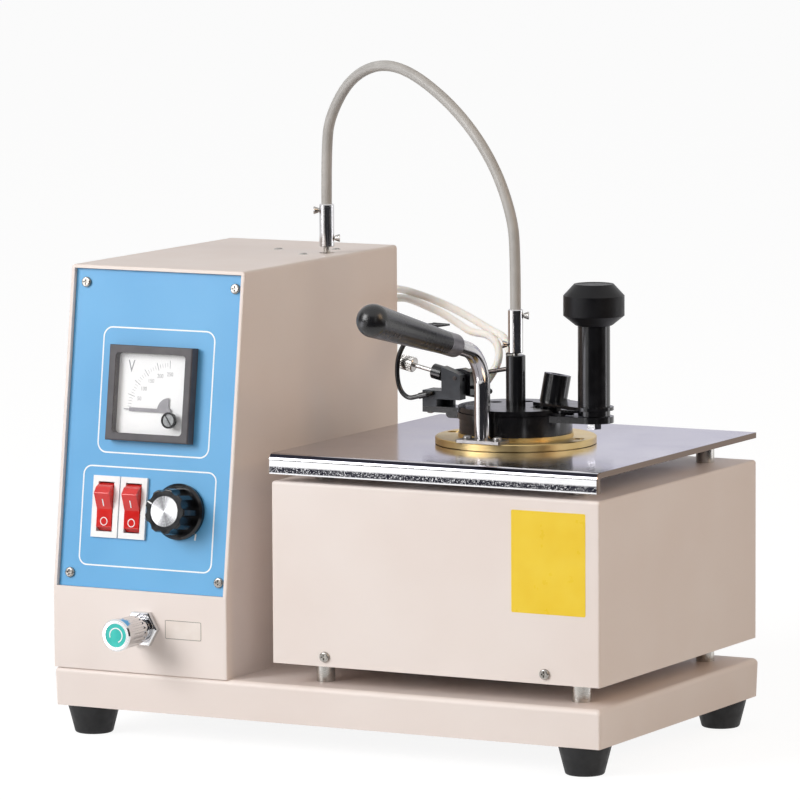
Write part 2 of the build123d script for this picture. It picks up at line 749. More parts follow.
def rear_gas_nipples():
    """Like brass hose nipples with hexagon flanges, screwed through the rear panel."""
    nipples = []
    for x, z in rear_nipple_places():
        to_rear = Plane(origin=(x, rear_y, z), z_dir=(0, 1, 0))
        hexagon = extrude(RegularPolygon(NIPPLE_FLANGE_AF / 2, 6, major_radius=False), NIPPLE_FLANGE_T)
        stem = Pos(0, 0, NIPPLE_REACH / 2) * Cylinder(NIPPLE_R, NIPPLE_REACH)
        thread = Pos(0, 0, -NIPPLE_THREAD_L / 2) * Cylinder(NIPPLE_THREAD_R, NIPPLE_THREAD_L)
        bore = Pos(0, 0, NIPPLE_FLANGE_T) * Cylinder(NIPPLE_BORE_R, NIPPLE_REACH + NIPPLE_THREAD_L + 2)
        nipples.append(to_rear.location * (hexagon + stem + thread - bore))
    return nipples


def front_panel():
    """Blue printed aluminium panel in the recess of the sloping front."""
    v = PANEL_LOW + PANEL_H / 2
    panel = at_panel(0, v, panel_seat + PANEL_T / 2, Box(PANEL_W, PANEL_H, PANEL_T))
    for cut in panel_cuts():
        panel -= cut
    for u, v in panel_screw_places():
        panel -= at_panel(u, v, 0, Cylinder(SCREW_SHANK_R + 0.1, 14))
    return panel


def heater_screw_places():
    """(x, y, direction) of the four screws that hold the heater box on its bottom pan."""
    x0, x1 = heater_x0 + HEATER_SCREW_INSET, heater_x1 - HEATER_SCREW_INSET
    return [(x, s * HEATER_D / 2, s) for x in (x0, x1) for s in (-1, 1)]


def case_screws():
    """Like domed cross-head screws: four in the front panel, four low in the heater box."""
    screws = [at_panel(u, v, panel_face, pan_screw()) for u, v in panel_screw_places()]
    for x, y, s in heater_screw_places():
        outward = Plane(origin=(x, y, heater_z0 + HEATER_SCREW_Z), x_dir=(1, 0, 0), z_dir=(0, s, 0))
        screws.append(outward.location * pan_screw(shank_l=5.0))
    return screws


# ================================================================ voltmeter
meter_front = panel_face + METER_PROUD
meter_dial_z = meter_front - METER_DIAL_DEPTH
meter_window_z = meter_front - METER_GLASS_SET - METER_GLASS_T


def meter_case():
    """Moulded square bezel, open in front over the dial, with a round body behind the panel."""
    bezel = at_panel(
        METER_U, METER_V, panel_face + METER_PROUD / 2, Box(METER_SIZE, METER_SIZE, METER_PROUD)
    )
    front = bezel.faces().sort_by(Axis(PANEL.origin, PANEL.z_dir))[-1]
    bezel = fillet(front.edges(), METER_EDGE_R)
    body = at_panel(
        METER_U, METER_V, panel_face - METER_BODY_D / 2, Cylinder(METER_BODY_R, METER_BODY_D)
    )
    floor = meter_dial_z - METER_DIAL_T
    window = at_panel(METER_U, METER_V, floor, window_block(0.0, meter_front - floor + 1))
    return bezel + body - window


def window_block(gap, height):
    """A block as wide as the bezel's window less a gap all round, standing on the XY plane."""
    side = METER_WINDOW - 2 * gap
    return extrude(RectangleRounded(side, side, METER_WINDOW_R - gap), height)


def meter_dial():
    """White printed dial plate on the floor of the bezel."""
    floor = meter_dial_z - METER_DIAL_T
    return at_panel(METER_U, METER_V, floor, window_block(RUN, METER_DIAL_T))


def meter_window():
    """Clear window in the front of the bezel, with a boss round the zero screw."""
    glass = at_panel(METER_U, METER_V, meter_window_z, window_block(RUN, METER_GLASS_T))
    boss = at_panel(ZERO_SCREW_U, ZERO_SCREW_V, meter_front, Cylinder(ZERO_BOSS_R, METER_BOSS_BACK * 2))
    boss -= at_panel(ZERO_SCREW_U, ZERO_SCREW_V, meter_front + 5 + METER_BOSS_PROUD, Cylinder(9, 10))
    return glass + boss - at_panel(
        ZERO_SCREW_U, ZERO_SCREW_V, meter_front, Cylinder(ZERO_SCREW_R + RUN, 20)
    )


def meter_needle():
    """Flat pointer with a fine tip and a quarter-round plate, on a pivot just over the dial."""
    z = meter_dial_z + NEEDLE_CLEAR
    reach, half = NEEDLE_L, NEEDLE_HALF_W
    outline = [
        (0, half),
        (-reach + NEEDLE_TIP_L, half),
        (-reach + NEEDLE_TIP_L, half / 4),
        (-reach, half / 5),
        (-reach, -half / 5),
        (-reach + NEEDLE_TIP_L, -half / 4),
        (-reach + NEEDLE_TIP_L, -half),
        (0, -half),
    ]
    blade = prism(Plane.XY, outline, NEEDLE_T)
    fan = Cylinder(NEEDLE_FAN_R, NEEDLE_T, align=(Align.CENTER, Align.CENTER, Align.MIN))
    fan &= box(-NEEDLE_FAN_R, 0, -half, NEEDLE_FAN_R, 0, NEEDLE_T)
    hub = Cylinder(1.5, NEEDLE_T + 0.5, align=(Align.CENTER, Align.CENTER, Align.MIN))
    pin = Cylinder(0.5, NEEDLE_CLEAR, align=(Align.CENTER, Align.CENTER, Align.MAX))
    return at_panel(NEEDLE_PIVOT_U, NEEDLE_PIVOT_V, z, blade + fan + hub + pin)


def meter_zero_screw():
    """Slotted adjusting screw of the movement, set in the window's boss."""
    h = METER_BOSS_BACK - FREE
    screw = Cylinder(ZERO_SCREW_R, h, align=(Align.CENTER, Align.CENTER, Align.MAX))
    slot = Rot(0, 0, 125) * Box(2 * ZERO_SCREW_R + 1, 0.8, 1.2)
    return at_panel(ZERO_SCREW_U, ZERO_SCREW_V, meter_front + METER_BOSS_PROUD, screw - slot)


# ================================================================ switches and knob
def switch_frames():
    """Two like switch housings: a bezel on the panel and a box behind it, open for the rocker."""
    frames = []
    for u, v in switch_places():
        lip = at_panel(u, v, panel_face + SWITCH_LIP / 2, Box(SWITCH_W, SWITCH_L, SWITCH_LIP))
        w, l = SWITCH_W - 2 * SWITCH_BORDER, SWITCH_L - 2 * SWITCH_BORDER
        body = at_panel(u, v, panel_face - SWITCH_BODY_D / 2, Box(w, l, SWITCH_BODY_D))
        well_w, well_l = w - 2 * SWITCH_WALL, l - 2 * SWITCH_WALL
        depth = SWITCH_WELL_D + SWITCH_LIP
        well = at_panel(u, v, panel_face + SWITCH_LIP - depth / 2, Box(well_w, well_l, depth + 0.02))
        pin_hole = at_panel(
            u, v, panel_face - ROCKER_PIVOT_DEPTH, Rot(0, 90, 0) * Cylinder(ROCKER_PIN_R + RUN, w + 1)
        )
        frames.append(lip + body - well - pin_hole)
    return frames


def rocker(u, v):
    """Rocker with two wings that rise to a crest near each end, on a cross pin; off at rest."""
    w = SWITCH_W - 2 * (SWITCH_BORDER + SWITCH_WALL + FREE)
    reach = SWITCH_L / 2 - SWITCH_BORDER - SWITCH_WALL - FREE
    rim = degrees(asin((ROCKER_END_H + ROCKER_PIVOT_DEPTH) / reach))
    wall = [
        (reach * cos(radians(a)), reach * sin(radians(a)) - ROCKER_PIVOT_DEPTH)
        for a in (rim, rim / 2, 0, -ROCKER_SWEEP / 2)
    ]
    crest = wall[0][0] - ROCKER_CREST_IN
    right = [(crest, ROCKER_CREST_H)] + wall + [(ROCKER_HUB_R, -ROCKER_PIVOT_DEPTH - 1)]
    outline = [(0, ROCKER_VALLEY_H)] + right + [(-y, z) for y, z in reversed(right)]
    body = Pos(-w / 2, 0, 0) * prism(Plane.YZ, outline, w)
    crests = [e for e in body.edges().filter_by(Axis.X) if e.center().Z > ROCKER_END_H + 0.1]
    body = fillet([e for e in crests if abs(e.center().Y) > 1], 0.7)
    axis = Pos(0, 0, -ROCKER_PIVOT_DEPTH) * Rot(0, 90, 0)
    pins = SWITCH_W - 2 * SWITCH_BORDER
    body = body + axis * Cylinder(ROCKER_HUB_R, w) + axis * Cylinder(ROCKER_PIN_R, pins)
    pivot = Pos(0, 0, -ROCKER_PIVOT_DEPTH) * Rot(ROCKER_TILT, 0, 0) * Pos(0, 0, ROCKER_PIVOT_DEPTH)
    return at_panel(u, v, panel_face, pivot * body)


def voltage_knob():
    """Black knob with wide scallops over a round skirt, recessed in front for its metal cap."""
    up = (Align.CENTER, Align.CENTER, Align.MIN)
    skirt = Cylinder(KNOB_SKIRT_R, KNOB_SKIRT_H, align=up)
    skirt = chamfer(skirt.edges().group_by(Axis.Z)[-1], KNOB_SKIRT_H / 3)
    body = Pos(0, 0, KNOB_SKIRT_H) * Cone(KNOB_BODY_R, KNOB_FRONT_R, KNOB_H - KNOB_SKIRT_H, align=up)
    body = fillet(body.edges().group_by(Axis.Z)[-1], 0.8)
    for k in range(KNOB_FLUTES):
        turn = 360.0 * (k + 0.5) / KNOB_FLUTES
        flute = Pos(KNOB_VALLEY_R + KNOB_FLUTE_R, 0, KNOB_SKIRT_H) * Cylinder(KNOB_FLUTE_R, KNOB_H, align=up)
        body -= Rot(0, 0, turn) * flute
    knob = skirt + body
    knob -= Pos(0, 0, KNOB_H - KNOB_CAP_T) * Cylinder(KNOB_CAP_R + 0.02, KNOB_CAP_T + 1, align=up)
    knob -= Cylinder(POT_SHAFT_R, 2 * (KNOB_H - 4))
    return at_panel(KNOB_U, KNOB_V, panel_face + FREE, knob)


def voltage_knob_cap():
    """Spun aluminium disc pressed into the front of the knob."""
    up = (Align.CENTER, Align.CENTER, Align.MIN)
    cap = Pos(0, 0, KNOB_H - KNOB_CAP_T) * Cylinder(KNOB_CAP_R, KNOB_CAP_T + KNOB_CAP_PROUD, align=up)
    cap = chamfer(cap.edges().group_by(Axis.Z)[-1], 0.3)
    return at_panel(KNOB_U, KNOB_V, panel_face + FREE, cap)


def voltage_regulator():
    """Wire-wound regulator behind the panel; its shaft carries the knob."""
    behind = PANEL_T + RECESS_FLOOR
    body = Pos(0, 0, -behind - POT_BODY_D / 2) * Cylinder(POT_BODY_R, POT_BODY_D)
    shaft = Cylinder(POT_SHAFT_R, 2 * (KNOB_H - 4.5), align=(Align.CENTER, Align.CENTER, Align.CENTER))
    neck = Pos(0, 0, -2.5) * Cylinder(POT_SHAFT_R + 0.9, 5.0)
    return at_panel(KNOB_U, KNOB_V, panel_face, body + neck + shaft)


# ================================================================ gas valve
GAS = Plane(origin=(gas_x, front_y, GAS_Z), x_dir=(1, 0, 0), z_dir=(0, -1, 0))


def gas_valve_body():
    """Needle valve: hexagon nut on the front, body behind it and stem out to the knob."""
    nut = extrude(RegularPolygon(GAS_NUT_AF / 2, 6, major_radius=False), GAS_NUT_T)
    nut = chamfer(nut.edges().group_by(Axis.Z)[-1], 0.6)
    up = (Align.CENTER, Align.CENTER, Align.MIN)
    neck = Pos(0, 0, GAS_NUT_T) * Cylinder(GAS_NECK_R, GAS_NECK_L, align=up)
    ring_z = GAS_NUT_T + GAS_NECK_L
    ring = Pos(0, 0, ring_z) * Cylinder(
        GAS_RING_R, GAS_KNOB_REACH - GAS_KNOB_L - FREE - ring_z, align=up
    )
    ring = fillet(ring.edges(), 0.5)
    stem_end = GAS_KNOB_REACH - 8.0
    stem = Pos(0, 0, stem_end / 2) * Cylinder(GAS_STEM_R, stem_end)
    body = Pos(0, 0, -GAS_BODY_D / 2) * Cylinder(GAS_BODY_R, GAS_BODY_D)
    return GAS.location * (nut + neck + ring + stem + body)


def gas_valve_knob():
    """Chrome knob with a grooved grip and a smooth rim, hollowed in front for its coloured cap."""
    z0, z1 = GAS_KNOB_REACH - GAS_KNOB_L, GAS_KNOB_REACH - GAS_RIM_L
    knob = turned(
        [
            (0, z0),
            (GAS_GRIP_R - 0.5, z0),
            (GAS_GRIP_R, z0 + 0.5),
            (GAS_GRIP_R, z1),
            (GAS_KNOB_R, z1 + 0.3),
            (GAS_KNOB_R, GAS_KNOB_REACH - 0.7),
            (GAS_KNOB_R - 0.7, GAS_KNOB_REACH),
            (0, GAS_KNOB_REACH),
        ]
    )
    grip_l = z1 - z0 - 2.4
    for k in range(GAS_GROOVES):
        groove = Pos(GAS_GRIP_R + 0.3, 0, z0 + 1.2 + grip_l / 2) * Cylinder(0.7, grip_l)
        knob -= Rot(0, 0, 360.0 * k / GAS_GROOVES) * groove
    knob -= Pos(0, 0, GAS_KNOB_REACH - 0.6) * Cylinder(GAS_CAP_R, 2.0)
    knob -= Pos(0, 0, z0) * Cylinder(GAS_STEM_R + RUN, 2 * (GAS_KNOB_L - 7.5))
    return GAS.location * knob


def gas_valve_cap():
    """Turquoise disc pressed into the front of the gas knob."""
    cap = Pos(0, 0, GAS_KNOB_REACH - 1.6) * Cylinder(GAS_CAP_R, 1.3, align=(Align.CENTER, Align.CENTER, Align.MIN))
    return GAS.location * cap


# ================================================================ stirrer motor
def motor_housing():
    """Synchronous gear motor: flat gear case against the box's top, motor can below it."""
    x1 = motor_x + MOTOR_GEAR_EDGE
    x0 = x1 - MOTOR_GEAR_W
    y0, y1 = MOTOR_SHAFT_Y - MOTOR_GEAR_D / 2, MOTOR_SHAFT_Y + MOTOR_GEAR_D / 2 + 3
    z1 = box_top - BOX_WALL
    z0 = z1 - MOTOR_GEAR_H
    case = box(x0, x1, y0, y1, z0, z1)
    case = fillet(case.edges().filter_by(Axis.Z), 4.0)
    can = rod((x0 + x1) / 2 - 2, (y0 + y1) / 2, z0 - MOTOR_CAN_H, z0, MOTOR_CAN_R)
    housing = case + can
    housing -= rod(motor_x, MOTOR_SHAFT_Y, z1 - 14, z1 + 1, MOTOR_SHAFT_R + RUN)
    for x, y in motor_screw_places:
        housing -= rod(x, y, z1 - 6.0, z1 + 1, 1.45)
    return housing


def motor_shaft():
    """Output shaft of the gear motor, standing out of the box's top."""
    return rod(
        motor_x, MOTOR_SHAFT_Y, box_top - BOX_WALL - 14, box_top + MOTOR_SHAFT_UP, MOTOR_SHAFT_R
    )


# ================================================================ heater box
def heater_box_shell():
    """Painted sheet box, open below, with a round hole in its top for the air bath."""
    outer = box(heater_x0, heater_x1, heater_y0, heater_y1, heater_z0, heater_z1)
    outer = fillet(outer.edges().filter_by(Axis.Z), HEATER_EDGE_R)
    outer = fillet(outer.edges().group_by(Axis.Z)[-1], HEATER_TOP_R)
    t = HEATER_WALL
    inner = box(
        heater_x0 + t, heater_x1 - t, heater_y0 + t, heater_y1 - t, heater_z0 - 1, heater_z1 - t
    )
    shell = outer - inner
    shell -= rod(LID_X, LID_Y, heater_z1 - 5, heater_z1 + 1, BATH_R_IN + BATH_WALL + FREE)
    for x, y, s in heater_screw_places():
        shell -= Pos(x, y, heater_z0 + HEATER_SCREW_Z) * Rot(90, 0, 0) * Cylinder(SCREW_SHANK_R + 0.1, 6)
    return shell


def heater_box_base():
    """Bottom pan of the heater box, its sides turned up inside the shell to take the screws."""
    t = HEATER_WALL
    gap = t + RUN
    x0, x1, y0, y1 = heater_x0 + gap, heater_x1 - gap, heater_y0 + gap, heater_y1 - gap
    pan = box(x0, x1, y0, y1, heater_z0, heater_z0 + HEATER_PAN_H)
    pan -= box(x0 + t, x1 - t, y0 + t, y1 - t, heater_z0 + t, heater_z0 + HEATER_PAN_H + 1)
    for x, y, s in heater_screw_places():
        pan -= Pos(x, y, heater_z0 + HEATER_SCREW_Z) * Rot(90, 0, 0) * Cylinder(SCREW_SHANK_R + 0.1, 12)
    return pan


def air_bath():
    """Thick-walled cast cup that hangs in the heater box and holds the test cup in still air."""
    r_out = BATH_R_IN + BATH_WALL
    floor = plate_z0 - BATH_DEPTH
    return turned(
        [
            (0, floor - BATH_FLOOR),
            (r_out, floor - BATH_FLOOR),
            (r_out, plate_z0),
            (BATH_R_IN, plate_z0),
            (BATH_R_IN, floor),
            (0, floor),
        ],
        LID_X,
        LID_Y,
    )


def heating_element():
    """Clamped band heater round the lower half of the air bath, with its two terminals."""
    r = BATH_R_IN + BATH_WALL + RUN
    z0 = plate_z0 - BATH_DEPTH - BATH_FLOOR + 4
    band = turned([(r, z0), (r + BAND_T, z0), (r + BAND_T, z0 + BAND_H), (r, z0 + BAND_H)], LID_X, LID_Y)
    for s in (-1, 1):
        band += Pos(LID_X + s * 7, LID_Y + r + BAND_T + 4, z0 + BAND_H / 2) * Rot(90, 0, 0) * Cylinder(2.0, 10)
    return band


def cover_plate():
    """Polished plated sheet over the heater box, turned down at the front, with the cup's hole."""
    x0 = (heater_x0 + heater_x1) / 2 - PLATE_W / 2
    x1 = x0 + PLATE_W
    y0 = heater_y0 - PLATE_FRONT_GAP
    y1 = y0 + PLATE_D
    sheet = box(x0, x1, y0, y1, plate_z0, plate_z1)
    flange = box(x0, x1, y0, y0 + PLATE_T, plate_z1 - PLATE_FLANGE, plate_z1)
    plate = sheet + flange
    outer = [
        e
        for e in plate.edges().filter_by(Axis.X)
        if abs(e.center().Y - y0) < 0.01 and abs(e.center().Z - plate_z1) < 0.01
    ]
    plate = fillet(outer, PLATE_EDGE_R)
    corners = [e for e in plate.edges().filter_by(Axis.Z) if abs(e.center().Y - y1) < 0.01]
    plate = fillet(corners, PLATE_CORNER_R)
    return plate - rod(LID_X, LID_Y, plate_z0 - 1, plate_z1 + 1, PLATE_HOLE_R)


# ================================================================ test cup and its handle
def cup():
    """Brass test cup with a wide flange that rests on the cover plate."""
    neck_r = CUP_R_IN + CUP_WALL
    body_r = CUP_R_IN + CUP_BODY_WALL
    z_under = plate_z1
    z_flange = plate_z1 + FLANGE_FOOT_T
    solid = turned(
        [
            (0, cup_floor_z - CUP_FLOOR),
            (body_r, cup_floor_z - CUP_FLOOR),
            (body_r, z_under),
            (FLANGE_FOOT_R, z_under),
            (FLANGE_FOOT_R, z_flange),
            (FLANGE_R, z_flange),
            (FLANGE_R, flange_z - 0.4),
            (FLANGE_R - 0.4, flange_z),
            (CUP_STEP_R, flange_z),
            (CUP_STEP_R, step_z),
            (neck_r, step_z),
            (neck_r, neck_z),
            (CUP_R_IN, neck_z),
            (CUP_R_IN, cup_floor_z),
            (0, cup_floor_z),
        ],
        LID_X,
        LID_Y,
    )
    for s in (-1, 1):
        x = LID_X + s * FLANGE_HOLE_AT
        solid -= rod(x, LID_Y, z_under - 1, flange_z + 1, FLANGE_HOLE_R)
        solid -= rod(x, LID_Y, flange_z - FLANGE_SPOT_T, flange_z + 1, FLANGE_SPOT_R)
    for s in (-1, 1):
        solid -= rod(handle_x + s * HANDLE_SCREW_AT, handle_y, flange_z - 3.0, flange_z + 1, 1.05)
    return solid


def handle_foot_plate():
    """Small steel plate under the handle, screwed to the front of the cup's flange."""
    plate = box(
        handle_x - HANDLE_FOOT_L / 2,
        handle_x + HANDLE_FOOT_L / 2,
        handle_y - HANDLE_FOOT_W / 2,
        handle_y + HANDLE_FOOT_W / 2,
        flange_z,
        handle_foot_z1,
    )
    plate = chamfer(plate.edges().filter_by(Axis.Z), 0.8)
    plate -= rod(LID_X, LID_Y, flange_z - 1, handle_foot_z1 + 1, CUP_STEP_R + FREE)
    for s in (-1, 1):
        plate -= rod(handle_x + s * HANDLE_SCREW_AT, handle_y, flange_z - 1, handle_foot_z1 + 1, 1.05)
    return plate


def handle_screws():
    """Two domed screws through the foot plate into the flange."""
    screw = pan_screw(HANDLE_SCREW_R, 1.7, 1.0, HANDLE_FOOT_T + 2.8)
    return [
        Pos(handle_x + s * HANDLE_SCREW_AT, handle_y, handle_foot_z1) * screw for s in (-1, 1)
    ]


def handle_along(t):
    """A point on the handle's sloping line, t from the corner where it meets the upright."""
    rise = radians(HANDLE_RISE)
    return (handle_x, handle_y - t * cos(rise), handle_corner_z + t * sin(rise))


HANDLE_LINE = Plane(
    origin=handle_along(0),
    x_dir=(1, 0, 0),
    z_dir=(0, -cos(radians(HANDLE_RISE)), sin(radians(HANDLE_RISE))),
)
ferrule_end = HANDLE_FERRULE_FROM + HANDLE_FERRULE_L


def handle_tube():
    """Chrome tube, upright on its foot plate and bent over towards the operator."""
    path = FilletPolyline(
        (handle_x, handle_y, handle_foot_z1),
        (handle_x, handle_y, handle_corner_z),
        handle_along(ferrule_end + HANDLE_IN_GRIP),
        radius=HANDLE_BEND_R,
    )
    section = Plane(origin=path @ 0, z_dir=path % 0) * Circle(HANDLE_R)
    return sweep(section, path=path)


def handle_ferrule():
    """Plain ferrule between the tube and the grip."""
    sleeve = Pos(0, 0, HANDLE_FERRULE_FROM) * Cylinder(
        HANDLE_FERRULE_R, HANDLE_FERRULE_L, align=(Align.CENTER, Align.CENTER, Align.MIN)
    )
    sleeve = fillet(sleeve.edges().group_by(Axis.Z)[0], 1.6)
    sleeve -= Cylinder(HANDLE_R, 2 * (ferrule_end + 5))
    return HANDLE_LINE.location * sleeve


def handle_grip():
    """Moulded black grip that swells to a rounded end."""
    start, end = ferrule_end, ferrule_end + GRIP_L
    body = Pos(0, 0, start) * Cone(
        HANDLE_FERRULE_R, GRIP_R_END, GRIP_L, align=(Align.CENTER, Align.CENTER, Align.MIN)
    )
    ball = Pos(0, 0, end) * Sphere(GRIP_R_END)
    ball -= Pos(0, 0, end) * Box(
        40, 40, 40, align=(Align.CENTER, Align.CENTER, Align.MAX)
    )
    grip = body + ball
    grip -= Pos(0, 0, start) * Cylinder(
        HANDLE_R, HANDLE_IN_GRIP, align=(Align.CENTER, Align.CENTER, Align.MIN)
    )
    return HANDLE_LINE.location * grip


# ================================================================ lid
def lid_local(shape):
    """Moves a shape drawn about the lid's axis, at its true height, into place."""
    return Pos(LID_X, LID_Y, 0) * shape


def arm_outline(root_half, root_x):
    """Tapering arm with a round end about the knob's stem, from root_x outwards."""
    flank = Polyline(
        (root_x, -root_half), (ARM_L, -ARM_END_R), (ARM_L, ARM_END_R), (root_x, root_half), close=True
    )
    return Rot(0, 0, ARM_ANGLE) * (make_face(flank) + Pos(ARM_L, 0) * Circle(ARM_END_R))


def on_circle(r, angle):
    """A point of a circle about the origin."""
    return (r * cos(radians(angle)), r * sin(radians(angle)))


def thermo_axis():
    """Centre line of the leaning thermometer holder, through the lid's top face."""
    x, y = on_circle(THERMO_AT, THERMO_ANGLE)
    out = on_circle(sin(radians(THERMO_LEAN)), THERMO_ANGLE)
    return Plane(origin=(LID_X + x, LID_Y + y, lid_z1), z_dir=(out[0], out[1], cos(radians(THERMO_LEAN))))


def lid():
    """Lid casting: a collar over the cup's neck, a plate with three ports and two side arms."""
    neck_r = CUP_R_IN + CUP_WALL + SLIP
    body = turned(
        [
            (neck_r, step_z),
            (COLLAR_R, step_z),
            (COLLAR_R, lid_z0),
            (LID_R, lid_z0),
            (LID_R, lid_z1),
            (0, lid_z1),
            (0, lid_z0 - LID_WEB),
            (neck_r, lid_z0 - LID_WEB),
        ]
    )
    arm = Pos(0, 0, lid_z0) * extrude(arm_outline(ARM_ROOT_HALF, 20.0), LID_T)
    lug = box(-LUG_REACH, -20, -LUG_HALF, LUG_HALF, lug_z0, lid_z1)
    raised = box(-LUG_REACH, -20, -LUG_HALF, LUG_HALF, lid_z1, lug_z1)
    raised -= Cylinder(SHUTTER_R + 2 * FREE, 1000)
    ear = box(-LUG_EAR_REACH, -LID_R + 1, -LUG_HALF, LUG_HALF, lug_z0 - LUG_EAR_DROP, lug_z0)
    ear = fillet(ear.edges().filter_by(Axis.Y).group_by(Axis.Z)[0].sort_by(Axis.X)[0], LUG_EAR_R)
    body = body + arm + lug + raised + ear
    for angle in PORT_ANGLES:
        x, y = on_circle(PORT_AT, angle)
        body -= rod(x, y, lid_z0 - LID_WEB - 1, lid_z1 + 1, PORT_R)
    body -= rod(0, 0, lid_z0 - LID_WEB - 1, lid_z1 + 1, STIR_TUBE_R)
    x, y = on_circle(ARM_L, ARM_ANGLE)
    body -= rod(x, y, lid_z0 - 1, lid_z1 + 1, DRIVE_SHAFT_R + RUN)
    body = lid_local(body)
    body -= thermo_axis().location * Cylinder(THERMO_NECK_R, 30)
    return body


def bridge_plate():
    """Upper arm: a thin plate over the shutter that ties the thermometer holder to the stem."""
    x, y = on_circle(THERMO_AT, THERMO_ANGLE)
    pad = Pos(x + 1.0, y) * Circle(THERMO_R + 1.6)
    web = make_face(
        Polyline(
            on_circle(9.0, 10.0),
            on_circle(ARM_L - 2.0, ARM_ANGLE - 12.3),
            on_circle(ARM_L - 2.0, ARM_ANGLE + 12.3),
            on_circle(25.0, 60.0),
            on_circle(12.0, 68.0),
            close=True,
        )
    )
    end = Pos(*on_circle(ARM_L, ARM_ANGLE)) * Circle(ARM_END_R)
    plate = extrude(pad + web + end, BRIDGE_T)
    plate -= Cylinder(STIR_TUBE_R + FREE, 20)
    plate -= Pos(*on_circle(ARM_L, ARM_ANGLE)) * Cylinder(DRIVE_SHAFT_R + RUN, 20)
    plate = lid_local(Pos(0, 0, bridge_z0) * plate)
    return plate - thermo_axis().location * Cylinder(THERMO_NECK_R, 40)


def stirrer_bearing():
    """Bearing tube of the stirrer, standing in the centre of the lid."""
    tube = rod(0, 0, lid_z0 - LID_WEB, stir_tube_z1, STIR_TUBE_R)
    tube = chamfer(tube.edges().group_by(Axis.Z)[-1], 0.4)
    tube -= Pos(0, 0, stir_tube_z1) * Cylinder(STIR_SHAFT_R + RUN, 200)
    return lid_local(tube)


def thermometer_ferrule():
    """Leaning holder for the thermometer, bored right through into the cup."""
    base = (bridge_z1 - lid_z1) / cos(radians(THERMO_LEAN))
    skirt = THERMO_R * tan(radians(THERMO_LEAN))
    upper = Pos(0, 0, base - skirt) * Cylinder(
        THERMO_R, THERMO_UP + skirt, align=(Align.CENTER, Align.CENTER, Align.MIN)
    )
    neck = Pos(0, 0, -THERMO_DOWN) * Cylinder(
        THERMO_NECK_R, THERMO_DOWN + base, align=(Align.CENTER, Align.CENTER, Align.MIN)
    )
    below = Pos(LID_X, LID_Y, bridge_z1 - 15) * Box(200, 200, 30)
    holder = (thermo_axis().location * upper) - below
    holder += thermo_axis().location * neck
    return holder - thermo_axis().location * Cylinder(THERMO_BORE_R, 100)


def shutter():
    """Round shutter that turns on the lid, with ports like the lid's and an ear for the crank."""
    disc = Cylinder(SHUTTER_R, SHUTTER_T, align=(Align.CENTER, Align.CENTER, Align.MIN))
    past = SHUTTER_R * 1.3
    span = SHUTTER_GAP_TO - SHUTTER_GAP_FROM
    outside = [on_circle(past, SHUTTER_GAP_FROM + span * k / 3) for k in range(4)]
    disc -= extrude(make_face(Polyline((0, 0), *outside, close=True)), 10)
    disc += Cylinder(SHUTTER_HUB_R, SHUTTER_T, align=(Align.CENTER, Align.CENTER, Align.MIN))
    rest = crank_pin_angle()
    ear = Rot(0, 0, rest) * box(
        0, SHUTTER_EAR_REACH, -SHUTTER_EAR_HALF, SHUTTER_EAR_HALF, 0, SHUTTER_EAR_T
    )
    disc += ear - Cylinder(SHUTTER_HUB_BORE, 20)
    slot_half = CRANK_PIN_R + SLOT_GAP
    slot = Rot(0, 0, rest) * box(
        SHUTTER_SLOT_FROM, SHUTTER_EAR_REACH + 4, -slot_half, slot_half, -1, SHUTTER_EAR_T + 1
    )
    disc -= slot
    disc -= Cylinder(STIR_TUBE_R + RUN, 20)
    for angle in PORT_ANGLES:
        x, y = on_circle(PORT_AT, angle - shutter_turn())
        disc -= Pos(x, y, 0) * Cylinder(PORT_R, 20)
    disc -= Pos(stem_x - LID_X, stem_y - LID_Y, 0) * Cylinder(CRANK_HUB_R + FREE, 20)
    return lid_local(Pos(0, 0, shutter_z0) * disc)


def crank_pin_place():
    """Crank pin at rest, about the lid's axis."""
    x, y = on_circle(ARM_L, ARM_ANGLE)
    dx, dy = on_circle(CRANK_L, ARM_ANGLE + 180.0 + CRANK_REST)
    return (x + dx, y + dy)


def crank_pin_angle():
    """Direction of the crank pin at rest, seen from the lid's axis, in degrees."""
    x, y = crank_pin_place()
    return degrees(atan2(y, x))


def shutter_turn():
    """How far the shutter turns while the crank swings to the far side of the line of centres."""
    return 2 * abs(crank_pin_angle() - ARM_ANGLE)


def crank_shaft():
    """Shaft of the shutter knob with its crank, which works the shutter's forked ear."""
    z0, z1 = lid_z0 - FREE, sleeve_z1 + 12.0
    shaft = rod(stem_x, stem_y, z0, z1, DRIVE_SHAFT_R)
    hub = rod(stem_x, stem_y, lid_z1 + FREE, bridge_z0 - FREE, CRANK_HUB_R)
    px, py = crank_pin_place()
    px, py = px + LID_X, py + LID_Y
    arm_z1 = bridge_z0 - FREE
    arm_z0 = arm_z1 - CRANK_T
    direction = ARM_ANGLE + 180.0 + CRANK_REST
    arm = box(0, CRANK_L, -CRANK_HALF, CRANK_HALF, arm_z0, arm_z1)
    arm = Pos(stem_x, stem_y, 0) * Rot(0, 0, direction) * arm
    tip = rod(px, py, arm_z0, arm_z1, CRANK_HALF)
    pin = rod(px, py, shutter_z0, arm_z1, CRANK_PIN_R)
    crank = shaft + hub + arm + tip + pin
    return crank - rod(stem_x, stem_y, z0 - 1, z0 + 8.0, BOLT_SHANK_R)


def crank_bolt():
    """Hexagon bolt that holds the crank shaft up from below."""
    z = lid_z0 - FREE
    head = Pos(stem_x, stem_y, z - BOLT_HEAD_H) * extrude(RegularPolygon(BOLT_HEAD_R, 6), BOLT_HEAD_H)
    return head + rod(stem_x, stem_y, z, z + 8.0, BOLT_SHANK_R)


